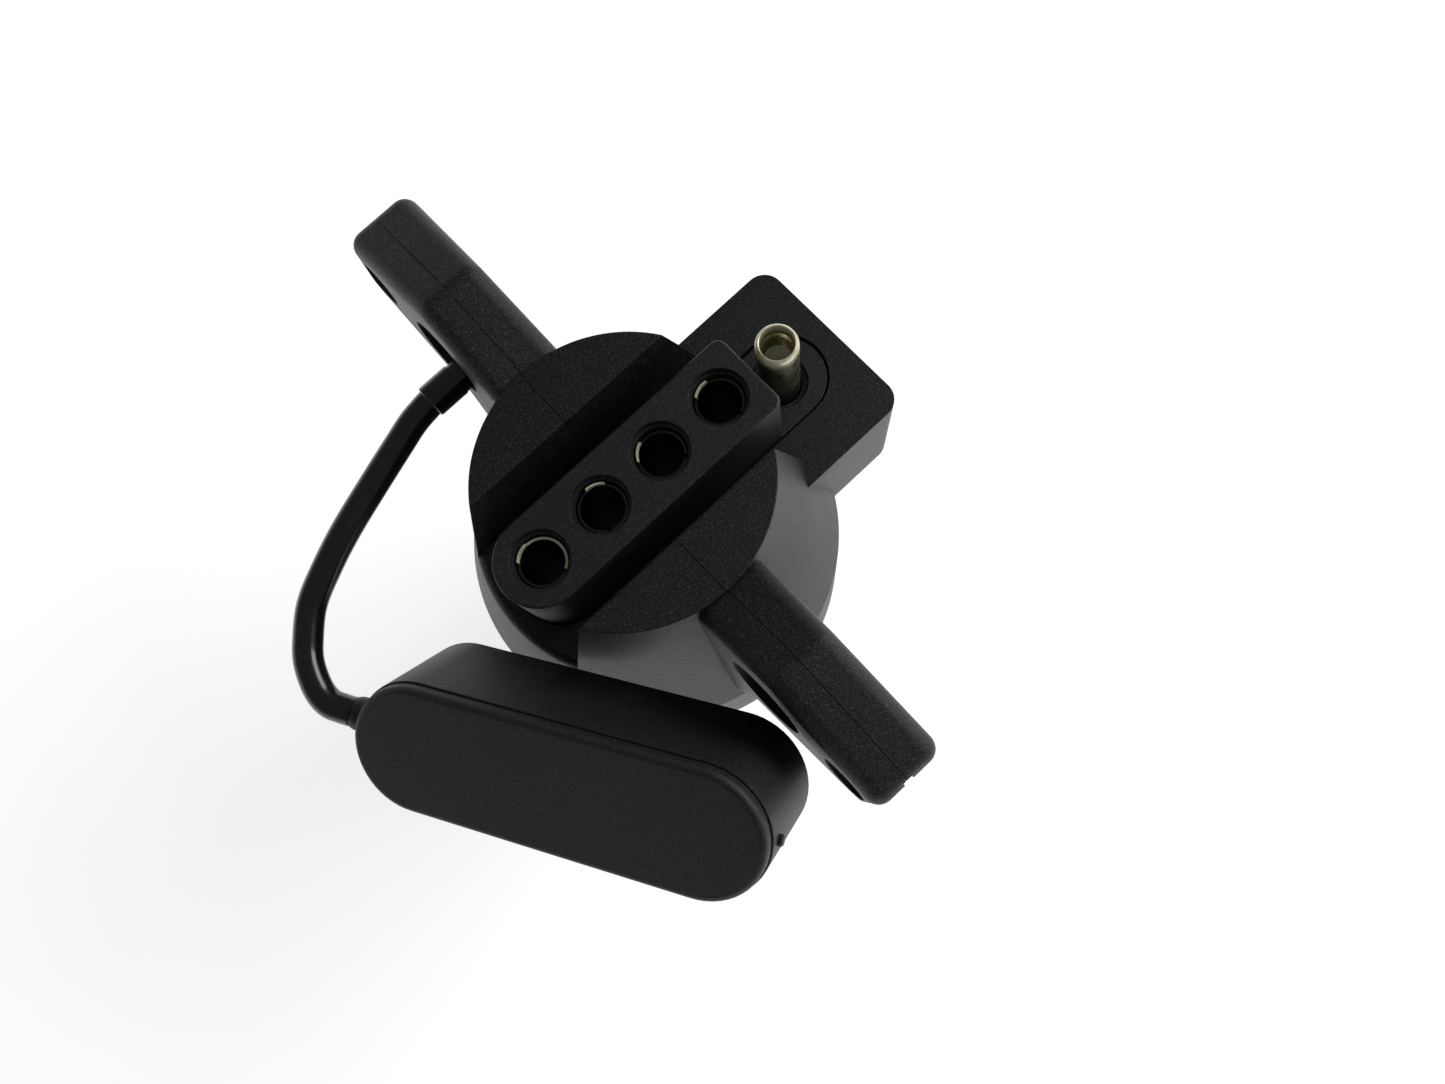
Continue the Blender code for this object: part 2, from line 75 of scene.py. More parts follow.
def table_top(half_size=1.6):
    bm = bmesh.new()
    bmesh.ops.create_grid(bm, x_segments=8, y_segments=8, size=half_size)
    mesh = bpy.data.meshes.new("table_top")
    bm.to_mesh(mesh)
    bm.free()
    surface = bpy.data.materials.new("pale_table")
    surface.use_nodes = True
    shader = surface.node_tree.nodes["Principled BSDF"]
    shader.inputs["Base Color"].default_value = (*TABLE_COLOUR, 1.0)
    shader.inputs["Roughness"].default_value = TABLE_ROUGHNESS
    shader.inputs["Emission Color"].default_value = (1.0, 1.0, 1.0, 1.0)
    shader.inputs["Emission Strength"].default_value = TABLE_GLOW
    mesh.materials.append(surface)
    table = bpy.data.objects.new("table_top", mesh)
    bpy.context.collection.objects.link(table)
    table.location.z = -0.0002


def close_up_camera():
    eye = (Vector((AXIS_X, 0, 0)) + Vector(EYE_FROM_AXIS)) * MM
    back = Vector(EYE_LOOKS_BACK).normalized()
    side = Vector((0, 1, 0)).cross(back).normalized()
    rise = back.cross(side)
    basis = Matrix((side, rise, back)).transposed().to_4x4()
    lens = bpy.data.cameras.new("close_up")
    lens.lens = LENS
    lens.sensor_width = SENSOR_WIDTH
    lens.clip_start = 0.01
    camera = bpy.data.objects.new("close_up", lens)
    bpy.context.collection.objects.link(camera)
    roll = Matrix.Rotation(math.radians(EYE_ROLL), 4, "Z")
    camera.matrix_world = Matrix.Translation(eye) @ basis @ roll
    bpy.context.scene.camera = camera


table_top()
close_up_camera()
soft_box("right_wall", LAMP_PLACE, LAMP_SIZE, LAMP_WATTS)
bpy.context.scene.view_settings.view_transform = "Standard"


def studio_world():
    """Pale walls near the table and a dim ceiling, so that top faces stay dark."""
    world = bpy.data.worlds.new("studio")
    world.use_nodes = True
    tree = world.node_tree
    place = tree.nodes.new("ShaderNodeTexCoord")
    height = tree.nodes.new("ShaderNodeSeparateXYZ")
    fade = tree.nodes.new("ShaderNodeMapRange")
    fade.inputs["From Max"].default_value = CEILING_STARTS
    fade.inputs["To Min"].default_value = WALL_GLOW
    fade.inputs["To Max"].default_value = CEILING_GLOW
    tree.links.new(place.outputs["Generated"], height.inputs["Vector"])
    tree.links.new(height.outputs["Z"], fade.inputs["Value"])
    tree.links.new(fade.outputs["Result"], tree.nodes["Background"].inputs["Strength"])
    tree.nodes["Background"].inputs["Color"].default_value = (1.0, 1.0, 1.0, 1.0)
    bpy.context.scene.world = world


studio_world()


# ---------------------------------------------------------------- tether cord
# The dust cap's tether is one smooth moulded strap of round glossy elastomer. It leaves the
# wing's moulded plug straight, bows outwards under the cap's weight and ends in its knuckle.
CORD_DIAMETER = 4.4
CORD_STEPS = 6
SWIVEL = (31.6, 76.8)
CORD_ROUTE = ((-12.8, 31.5, 76.8), (-16.0, 31.1, 76.6), (-19.8, 30.1, 76.3), (-26.9, 28.1, 75.8),
              (-34.0, 25.9, 75.4), (-39.6, 23.7, 75.0), (-44.6, 21.2, 74.6), (-48.3, 17.8, 74.2),
              (-50.5, 15.0, 73.9), (-51.9, 11.3, 73.6), (-52.0, 8.6, 73.3), (-51.1, 6.6, 73.0))


def add_nodes(tree, **kinds):
    """Makes nodes by name, such as add_nodes(tree, grain='ShaderNodeTexNoise')."""
    made = {}
    for name, kind in kinds.items():
        made[name] = tree.nodes.new(kind)
        made[name].name = name
    return made


def wire_up(tree, *links):
    for out, into in links:
        tree.links.new(out, into)


def new_group(name, inputs, outputs):
    """A shader group with float or colour sockets, given as (name, value) pairs."""
    group = bpy.data.node_groups.new(name, "ShaderNodeTree")
    for direction, sockets in (("INPUT", inputs), ("OUTPUT", outputs)):
        for label, value in sockets:
            kind = "NodeSocketColor" if isinstance(value, tuple) else "NodeSocketFloat"
            socket = group.interface.new_socket(label, in_out=direction, socket_type=kind)
            socket.default_value = value
    return group, group.nodes.new("NodeGroupInput"), group.nodes.new("NodeGroupOutput")


def handling_marks_group():
    """Faint smudges and fine rubs in two directions, as a mask from 0 to 1."""
    group, given, result = new_group("handling_marks", [("Smudge Size", 60.0), ("Rub Size", 900.0)],
                                     [("Mask", 0.0)])
    n = add_nodes(group, place="ShaderNodeTexCoord", stretch="ShaderNodeMapping",
                  smudge="ShaderNodeTexNoise", rub="ShaderNodeTexNoise",
                  soft="ShaderNodeMapRange", sharp="ShaderNodeMapRange", both="ShaderNodeMath")
    n["stretch"].inputs["Rotation"].default_value = (0.4, 0.3, 0.9)
    n["stretch"].inputs["Scale"].default_value = (0.08, 1.0, 1.0)
    n["smudge"].inputs["Detail"].default_value = 4.0
    n["rub"].inputs["Detail"].default_value = 2.0
    for name, low, high in (("soft", 0.45, 0.75), ("sharp", 0.60, 0.80)):
        n[name].inputs["From Min"].default_value = low
        n[name].inputs["From Max"].default_value = high
    n["both"].operation = "MAXIMUM"
    wire_up(group,
            (n["place"].outputs["Object"], n["smudge"].inputs["Vector"]),
            (n["place"].outputs["Object"], n["stretch"].inputs["Vector"]),
            (n["stretch"].outputs["Vector"], n["rub"].inputs["Vector"]),
            (given.outputs["Smudge Size"], n["smudge"].inputs["Scale"]),
            (given.outputs["Rub Size"], n["rub"].inputs["Scale"]),
            (n["smudge"].outputs["Fac"], n["soft"].inputs["Value"]),
            (n["rub"].outputs["Fac"], n["sharp"].inputs["Value"]),
            (n["soft"].outputs["Result"], n["both"].inputs[0]),
            (n["sharp"].outputs["Result"], n["both"].inputs[1]),
            (n["both"].outputs["Value"], result.inputs["Mask"]))
    return group


def moulded_grain_group():
    """Spark-eroded mould grain: a height, and specks where filler shows at the skin."""
    group, given, result = new_group("moulded_grain", [("Grain Scale", 2600.0), ("Speck Scale", 1700.0)],
                                     [("Height", 0.0), ("Specks", 0.0)])
    n = add_nodes(group, place="ShaderNodeTexCoord", grain="ShaderNodeTexNoise",
                  pits="ShaderNodeTexVoronoi", speck="ShaderNodeTexNoise",
                  pit_depth="ShaderNodeMath", height="ShaderNodeMath", lit="ShaderNodeMapRange")
    n["grain"].inputs["Detail"].default_value = 3.0
    n["grain"].inputs["Roughness"].default_value = 0.65
    n["speck"].inputs["Detail"].default_value = 2.0
    n["pits"].feature = "SMOOTH_F1"
    n["pit_depth"].operation = "MULTIPLY"
    n["pit_depth"].inputs[1].default_value = 0.6
    n["height"].operation = "ADD"
    n["lit"].inputs["From Min"].default_value = 0.52
    n["lit"].inputs["From Max"].default_value = 0.72
    wire_up(group,
            (n["place"].outputs["Object"], n["grain"].inputs["Vector"]),
            (n["place"].outputs["Object"], n["pits"].inputs["Vector"]),
            (n["place"].outputs["Object"], n["speck"].inputs["Vector"]),
            (given.outputs["Grain Scale"], n["grain"].inputs["Scale"]),
            (given.outputs["Grain Scale"], n["pits"].inputs["Scale"]),
            (given.outputs["Speck Scale"], n["speck"].inputs["Scale"]),
            (n["pits"].outputs["Distance"], n["pit_depth"].inputs[0]),
            (n["grain"].outputs["Fac"], n["height"].inputs[0]),
            (n["pit_depth"].outputs["Value"], n["height"].inputs[1]),
            (n["speck"].outputs["Fac"], n["lit"].inputs["Value"]),
            (n["height"].outputs["Value"], result.inputs["Height"]),
            (n["lit"].outputs["Result"], result.inputs["Specks"]))
    return group


HANDLING_MARKS = handling_marks_group()
MOULDED_GRAIN = moulded_grain_group()


def moulded_material(name, dark, light, roughness, grain, depth, smudge=60.0, coat=0.0, sheen=0.5):
    """A moulded plastic or rubber: dark body, lighter specks, and roughness that the
    handling marks vary between two values. Depth is the grain's, in metres, and sheen is
    the specular level."""
    surface = bpy.data.materials.new(name)
    surface.use_nodes = True
    tree = surface.node_tree
    shader = tree.nodes["Principled BSDF"]
    n = add_nodes(tree, marks="ShaderNodeGroup", skin="ShaderNodeGroup", blend="ShaderNodeMix",
                  gloss="ShaderNodeMapRange", bump="ShaderNodeBump")
    n["marks"].node_tree = HANDLING_MARKS
    n["marks"].inputs["Smudge Size"].default_value = smudge
    n["skin"].node_tree = MOULDED_GRAIN
    n["skin"].inputs["Grain Scale"].default_value = grain
    n["skin"].inputs["Speck Scale"].default_value = grain * 0.65
    n["blend"].data_type = "RGBA"
    n["blend"].inputs["A"].default_value = (*dark, 1.0)
    n["blend"].inputs["B"].default_value = (*light, 1.0)
    n["gloss"].inputs["To Min"].default_value = roughness[0]
    n["gloss"].inputs["To Max"].default_value = roughness[1]
    n["bump"].inputs["Strength"].default_value = 0.6
    n["bump"].inputs["Distance"].default_value = depth
    shader.inputs["Specular IOR Level"].default_value = sheen
    shader.inputs["Coat Weight"].default_value = coat
    shader.inputs["Coat Roughness"].default_value = 0.12
    wire_up(tree,
            (n["skin"].outputs["Specks"], n["blend"].inputs["Factor"]),
            (n["blend"].outputs["Result"], shader.inputs["Base Color"]),
            (n["marks"].outputs["Mask"], n["gloss"].inputs["Value"]),
            (n["gloss"].outputs["Result"], shader.inputs["Roughness"]),
            (n["skin"].outputs["Height"], n["bump"].inputs["Height"]),
            (n["bump"].outputs["Normal"], shader.inputs["Normal"]))
    return surface


def smooth_route(points, per_span):
    """Points on one smooth curve through the route's own points."""
    points = [Vector(p) for p in points]
    ends = [points[0] * 2 - points[1]] + points + [points[-1] * 2 - points[-2]]
    route = []
    for i in range(1, len(ends) - 2):
        start, end = ends[i], ends[i + 1]
        pull_out = (ends[i + 1] - ends[i - 1]) / 6
        pull_in = (ends[i + 2] - ends[i]) / 6
        route += interpolate_bezier(start, start + pull_out, end - pull_in, end, per_span + 1)[:-1]
    return route + [points[-1]]


def round_cable(name, route, diameter, surface):
    """A round cable along a route, with closed ends."""
    curve = bpy.data.curves.new(name, "CURVE")
    curve.dimensions = "3D"
    curve.bevel_depth = diameter / 2 * MM
    curve.bevel_resolution = 8
    curve.use_fill_caps = True
    line = curve.splines.new("POLY")
    line.points.add(len(route) - 1)
    for target, point in zip(line.points, route):
        target.co = (*((Vector(point) + Vector((AXIS_X, 0, 0))) * MM), 1.0)
    line.use_smooth = True
    curve.materials.append(surface)
    cable = bpy.data.objects.new(name, curve)
    bpy.context.collection.objects.link(cable)
    return cable


tether_gloss = moulded_material("tether_gloss", dark=(0.006, 0.006, 0.007), light=(0.011, 0.011, 0.012),
                                roughness=(0.16, 0.30), grain=900.0, depth=0.00002, coat=0.3)
INSIDE_SLEEVE, INSIDE_KNUCKLE = (-11.6, *SWIVEL), (-50.4, 5.4, 72.85)
moulded_route = [INSIDE_SLEEVE] + smooth_route(CORD_ROUTE, CORD_STEPS) + [INSIDE_KNUCKLE]
tether = round_cable("tether", moulded_route, CORD_DIAMETER, tether_gloss)
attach(tether, "tether")
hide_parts("tether_cord")


# ---------------------------------------------------------------- tether's moulded plug
# The tether's wing end is one moulding with it: a sleeve with a collar against the wing, a thin
# neck through the web of the inner hole, and a button head that was pulled through.
SHARP_ANGLE = math.radians(38)


def link(name, mesh):
    item = bpy.data.objects.new(name, mesh)
    bpy.context.collection.objects.link(item)
    return item


def from_bmesh(name, bm):
    bmesh.ops.remove_doubles(bm, verts=bm.verts, dist=1e-7)
    bmesh.ops.recalc_face_normals(bm, faces=bm.faces)
    mesh = bpy.data.meshes.new(name)
    bm.to_mesh(mesh)
    bm.free()
    return link(name, mesh)


def turned(name, profile, segments):
    """Solid of revolution about Z: (radius, z) points from axis to axis, or a closed ring."""
    bm = bmesh.new()
    points = [bm.verts.new((r * MM, 0.0, z * MM)) for r, z in profile]
    edges = [bm.edges.new(pair) for pair in zip(points, points[1:])]
    if profile[0][0] > 0:
        edges.append(bm.edges.new((points[-1], points[0])))
    bmesh.ops.spin(bm, geom=points + edges, cent=(0, 0, 0), axis=(0, 0, 1),
                   angle=math.tau, steps=segments, use_duplicate=False)
    return from_bmesh(name, bm)


def place(item, matrix):
    item.data.transform(matrix)
    return item


def move(item, x=0.0, y=0.0, z=0.0):
    return place(item, Matrix.Translation(Vector((x, y, z)) * MM))


def turn(item, degrees, axis):
    return place(item, Matrix.Rotation(math.radians(degrees), 4, axis))


def arc(cx, cy, radius, start, end, steps):
    """Points along an arc, its angles in degrees."""
    turn_by = (end - start) / steps
    return [(cx + radius * math.cos(math.radians(start + turn_by * i)),
             cy + radius * math.sin(math.radians(start + turn_by * i)))
            for i in range(steps + 1)]


def set_piece(item, name, surface, body, slot, *cad_nodes):
    """Finishes a piece: shading, its place about the plug's axis, material and body; slot is not used."""
    item.name = name
    item.data.name = name
    item.data.materials.clear()
    item.data.materials.append(surface)
    item.data.shade_smooth()
    item.data.set_sharp_from_angle(angle=SHARP_ANGLE)
    flats = item.modifiers.new("flats", "WEIGHTED_NORMAL")
    flats.keep_sharp = True
    view = bpy.context.evaluated_depsgraph_get()
    mesh = bpy.data.meshes.new_from_object(item.evaluated_get(view))
    item.modifiers.clear()
    item.data = mesh
    mesh.name = name
    move(item, AXIS_X)
    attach(item, body)
    if cad_nodes:
        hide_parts(*cad_nodes)
    return item


def tether_end():
    head = [(0, -3.9), (1.9, -3.9)] + arc(2.3, -3.3, 0.6, -90, 0, 4) + [(2.9, -1.75)]
    neck = [(1.55, -1.65), (1.55, 1.7)] + arc(2.2, 2.1, 0.4, -90, 0, 4)
    collar = [(2.42, 6.9), (2.6, 7.2)] + arc(2.2, 11.9, 0.4, 0, 90, 4) + [(0, 12.3)]
    end = turned("tether_end", head + neck + collar, 64)
    turn(end, -90, "Y")
    move(end, 0, *SWIVEL)
    return set_piece(end, "tether_end", tether_gloss, "tether", "tether_rubber", "tether_plug")


tether_end_piece = tether_end()


# ---------------------------------------------------------------- housing
# Two welded half shells of black glass-filled nylon: the plug's barrel and skirt, a flared
# cone, two raised lands beside the connector's channel, the box under the bare pin and the
# two pull wings. The shells meet in a fine parting line that runs over lands and wings.
SHOULDER, SKIRT_TOP, FLOOR, LAND_TOP = 30.0, 52.0, 69.2, 86.5
BARREL_R, BORE_R, SKIRT_R, FLOOR_R, LAND_R = 22.3, 20.0, 30.3, 25.4, 21.15
SHELL_WALL = 2.6
CHANNEL_HALF_WIDTH = 11.4
SHELF = 60.5
BOX_START_X, BOX_END_X, BOX_HALF_WIDTH = 8.0, 40.2, 15.2
BOX_FOOT, BOX_CORNER_R = 47.0, 3.2
GROOVE_R, GROOVE_FOOT, GROOVE_TOP = 22.7, 33.0, 36.2
RIDGE = (34.7, 92.9)
WING_TIP = (52.5, 84.26, 2.5)
WING_HALF_THICKNESS, WING_DRAFT, WING_SHIFT = 5.2, 0.07, 0.3
OUTER_HOLE = (49.2, 80.6, 3.7)
INNER_HOLE = (34.2, 78.8, 6.5)
INNER_WEB = 1.4
NECK_HOLE_R = 1.85
PARTING_SLIT, PARTING_STEP = 0.05, 0.3
CLEARANCE = 0.3
FIRST_SOCKET_X, PITCH = -15.6, 11.1125
PLATFORM_END_X, INSERT_HALF_WIDTH = 29.7, 6.75
INSERT_LIP, LIP_REACH, STEM_INSET = (63.3, 65.5), 1.2, 1.6
OUTSIDE, ABOVE = 60, 100
LEAST_TURN = math.radians(50)


def prism(name, outline, low, high):
    """A flat (x, y) outline carried straight up from low to high."""
    bm = bmesh.new()
    base = bm.faces.new([bm.verts.new((x * MM, y * MM, low * MM)) for x, y in outline])
    grown = bmesh.ops.extrude_face_region(bm, geom=[base])["geom"]
    top = [v for v in grown if isinstance(v, bmesh.types.BMVert)]
    bmesh.ops.translate(bm, verts=top, vec=(0, 0, (high - low) * MM))
    return from_bmesh(name, bm)


def block(low, high):
    outline = [(low[0], low[1]), (high[0], low[1]), (high[0], high[1]), (low[0], high[1])]
    return prism("block", outline, low[2], high[2])


def rod(radius, low, high, segments):
    return turned("rod", [(0, low), (radius, low), (radius, high), (0, high)], segments)


def stadium(left, right, radius, steps=24):
    """Outline with round ends centred on (left, 0) and (right, 0)."""
    return arc(right, 0, radius, -90, 90, steps) + arc(left, 0, radius, 90, 270, steps)


def carve(item, tool, operation="DIFFERENCE"):
    """Cuts or joins two solids for good, and removes the second one."""
    step = item.modifiers.new("carve", "BOOLEAN")
    step.object = tool
    step.operation = operation
    view = bpy.context.evaluated_depsgraph_get()
    mesh = bpy.data.meshes.new_from_object(item.evaluated_get(view))
    item.modifiers.clear()
    item.data = mesh
    bpy.data.objects.remove(tool, do_unlink=True)
    return item


def fuse(item, *others):
    for other in others:
        carve(item, other, "UNION")
    return item


def round_edges(item, width, segments, chosen):
    """Rounds the edges that turn by more than LEAST_TURN and whose middle is chosen."""
    bm = bmesh.new()
    bm.from_mesh(item.data)
    edges = []
    for edge in bm.edges:
        middle = (edge.verts[0].co + edge.verts[1].co) / (2 * MM)
        if len(edge.link_faces) == 2 and edge.calc_face_angle() > LEAST_TURN and chosen(middle):
            edges.append(edge)
    bmesh.ops.bevel(bm, geom=edges, offset=width * MM, segments=segments, profile=0.5,
                    affect="EDGES", clamp_overlap=True)
    bm.to_mesh(item.data)
    bm.free()
    return item


def clean(item):
    """Merges the slivers that a chain of cuts leaves."""
    bm = bmesh.new()
    bm.from_mesh(item.data)
    bmesh.ops.remove_doubles(bm, verts=bm.verts, dist=4e-6)
    bmesh.ops.dissolve_degenerate(bm, dist=4e-6, edges=bm.edges)
    bmesh.ops.recalc_face_normals(bm, faces=bm.faces)
    bm.to_mesh(item.data)
    bm.free()
    return item


def cone_radius(z):
    if z < FLOOR:
        return SKIRT_R + (FLOOR_R - SKIRT_R) * (z - SKIRT_TOP) / (FLOOR - SKIRT_TOP)
    return FLOOR_R + (LAND_R - FLOOR_R) * (z - FLOOR) / (LAND_TOP - FLOOR)


def round_body():
    """Barrel, skirt and flared cone in one turned profile, then the channel through it."""
    foot, fillet, brim, waist, channel_lip, land_edge = 0.8, 0.6, 0.9, 4.0, 1.2, 0.75
    profile = [(0, 0), (BARREL_R - foot, 0)] + arc(BARREL_R - foot, foot, foot, -90, 0, 4)
    profile += arc(BARREL_R + fillet, SHOULDER - fillet, fillet, 180, 90, 4)
    profile += arc(SKIRT_R - brim, SHOULDER + brim, brim, -90, 0, 5)
    profile += arc(SKIRT_R - waist, SKIRT_TOP - 0.6, waist, 0, 16, 4)
    profile += [(FLOOR_R, FLOOR), (LAND_R, LAND_TOP), (0, LAND_TOP)]
    body = turned("housing", profile, 144)
    carve(body, block((-OUTSIDE, -CHANNEL_HALF_WIDTH, FLOOR), (OUTSIDE, CHANNEL_HALF_WIDTH, ABOVE)))
    round_edges(body, channel_lip, 5, lambda p: abs(p.z - FLOOR) < 0.1 and p.x < -20)
    return round_edges(body, land_edge, 4, lambda p: p.z > FLOOR + 1)


def pin_box():
    """The box beside the cone, with round corners and a softer top edge than foot."""
    far, near = BOX_END_X - BOX_CORNER_R, BOX_START_X + BOX_CORNER_R
    side, top_edge, foot_edge = BOX_HALF_WIDTH - BOX_CORNER_R, 1.2, 0.6
    outline = []
    for cx, cy, start in ((far, -side, -90), (far, side, 0), (near, side, 90), (near, -side, 180)):
        outline += arc(cx, cy, BOX_CORNER_R, start, start + 90, 10)
    box = prism("box", outline, BOX_FOOT, FLOOR)
    round_edges(box, top_edge, 5, lambda p: p.z > FLOOR - 0.1 and p.x > BOX_START_X + 1)
    return round_edges(box, foot_edge, 3, lambda p: p.z < BOX_FOOT + 0.1 and p.x > BOX_START_X + 1)


def pull_wing(side):
    """A drafted plate with a knee in its top edge, whose root fades into the cone. Its outline
    is drawn in (y, z) and then stood up."""
    root = (12.0, LAND_TOP - 0.4 - 0.5 * (LAND_R - 12.0))
    knee = [(RIDGE[0] - 1.1, RIDGE[1] - 0.55), (RIDGE[0] - 0.3, RIDGE[1] - 0.2),
            (RIDGE[0] + 0.5, RIDGE[1] - 0.22), (RIDGE[0] + 1.4, RIDGE[1] - 0.5)]
    outline = [root] + knee + arc(*WING_TIP, 72, -20, 8)
    outline += [(54.2, 76.0), (52.0, 74.2), (43.0, 70.4), (34.0, 66.8), (29.6, 54.0), (12.0, 54.0)]
    plate = prism("wing", outline, -WING_HALF_THICKNESS, WING_HALF_THICKNESS)
    for vertex in plate.data.vertices:
        drop = RIDGE[1] - vertex.co.y / MM
        vertex.co.z *= 1 + WING_DRAFT * drop / WING_HALF_THICKNESS
    face = WING_HALF_THICKNESS - 0.5
    round_edges(plate, 2.3, 6, lambda p: abs(p.z) > face)
    place(plate, Matrix(((0, 0, 1, 0), (1, 0, 0, 0), (0, 1, 0, 0), (0, 0, 0, 1))))
    if side < 0:
        turn(plate, 180, "Z")
    return move(plate, WING_SHIFT)


def wing_hole(side, y, z, radius, low, high):
    return move(turn(rod(radius, low, high, 56), 90, "Y"), 0, side * y, z)


def hollow_out(body):
    """The bore with its groove for the carrier, the wires' cavity, the cored lands and box,
    and the opening for the insert."""
    throat = BORE_R + 0.8
    cavity = turned("cavity", [(0, -1), (BORE_R, -1), (BORE_R, GROOVE_FOOT), (GROOVE_R, GROOVE_FOOT),
                               (GROOVE_R, GROOVE_TOP), (throat, GROOVE_TOP), (throat, GROOVE_TOP + 2),
                               (SKIRT_R - SHELL_WALL, GROOVE_TOP + 2.8),
                               (SKIRT_R - SHELL_WALL, SKIRT_TOP - 1.5),
                               (cone_radius(SHELF) - SHELL_WALL, SHELF), (0, SHELF)], 120)
    cores = turned("cores", [(0, SHELF - 2), (cone_radius(SHELF) - SHELL_WALL - 0.2, SHELF - 2),
                             (FLOOR_R - SHELL_WALL, FLOOR),
                             (LAND_R - SHELL_WALL + 0.5, LAND_TOP - SHELL_WALL),
                             (0, LAND_TOP - SHELL_WALL)], 112)
    wall_y = CHANNEL_HALF_WIDTH + SHELL_WALL - 0.2
    carve(cores, block((-40, -wall_y, 50), (40, wall_y, 100)))
    box_hollow = block((12, SHELL_WALL - BOX_HALF_WIDTH, BOX_FOOT + SHELL_WALL),
                       (BOX_END_X - SHELL_WALL, BOX_HALF_WIDTH - SHELL_WALL, SHELF + 0.05))
    for tool in (cavity, cores, box_hollow):
        carve(body, tool)
    lip_foot, lip_top = INSERT_LIP
    for grow, low, high in ((0, lip_top, FLOOR + 2), (LIP_REACH, lip_foot - CLEARANCE, lip_top + CLEARANCE),
                            (-STEM_INSET, SHELF - 1, lip_foot)):
        outline = stadium(FIRST_SOCKET_X, PLATFORM_END_X, INSERT_HALF_WIDTH + CLEARANCE + grow)
        carve(body, prism("opening", outline, low, high))


def half_shells():
    """Joins the housing's parts and splits it again along its parting line, which steps where
    the lands meet the wings."""
    body = round_body()
    rib = block((-BARREL_R - 1.6, -2.5, 0.8), (1 - BARREL_R, 2.5, SHOULDER + 1))
    round_edges(rib, 0.5, 3, lambda p: p.x < -BARREL_R)
    catch = block((-SKIRT_R - 2.5, -4.0, 38.5), (1 - SKIRT_R, 4.0, 41.5))
    round_edges(catch, 0.6, 3, lambda p: p.x < -SKIRT_R - 1)
    fuse(body, pin_box(), pull_wing(1), pull_wing(-1), rib, catch)
    hollow_out(body)
    for side in (1, -1):
        carve(body, wing_hole(side, *OUTER_HOLE, -12, 12))
        for low, high in ((-14, -INNER_WEB), (INNER_WEB, 14)):
            carve(body, wing_hole(side, *INNER_HOLE, low, high))
    carve(body, wing_hole(1, *SWIVEL, NECK_HOLE_R, -3, 3))
    gate_nick = block((-0.7, -56, 82.6), (0.9, -54.5, 88))
    carve(body, gate_nick)
    clean(body)
    other = link("half", body.data.copy())
    step_y = LAND_R + 0.1
    for item, far, edge in ((body, OUTSIDE, -PARTING_SLIT), (other, -OUTSIDE, PARTING_SLIT)):
        seam = [(far, -80), (far, 80), (edge, 80), (edge, step_y), (edge - PARTING_STEP, step_y),
                (edge - PARTING_STEP, -step_y), (edge, -step_y), (edge, -80)]
        carve(item, prism("seam", seam, -10, 120))
    return clean(body), clean(other)


glass_filled_nylon = moulded_material("glass_filled_nylon", dark=(0.0062, 0.0070, 0.0078),
                                      light=(0.052, 0.058, 0.064), roughness=(0.43, 0.49),
                                      grain=5600.0, depth=0.00014, smudge=45.0, sheen=0.36)
plain_half, box_half = half_shells()
set_piece(plain_half, "half_shell_plain", glass_filled_nylon, "adapter", "housing_plastic",
          "housing_half_plain")
set_piece(box_half, "half_shell_box", glass_filled_nylon, "adapter", "housing_plastic", "housing_half_box")


# ---------------------------------------------------------------- flat insert
# One smooth matt moulding holds all five flat contacts. Its platform fills the opening in the
# channel floor but for a fine gap, and its socket block stands up from it.
PLATFORM = FLOOR - CLEARANCE
BLOCK_TOP, BLOCK_END_X, BLOCK_CORNER_R = 84.0, 23.9, 1.5
SOCKETS = 4
PIN_X = FIRST_SOCKET_X + SOCKETS * PITCH
SOCKET_HOLE_R, PIN_HOLE_R, TAIL_HOLE_R, STEM_FOOT = 3.85, 3.5, 1.6, 58.0


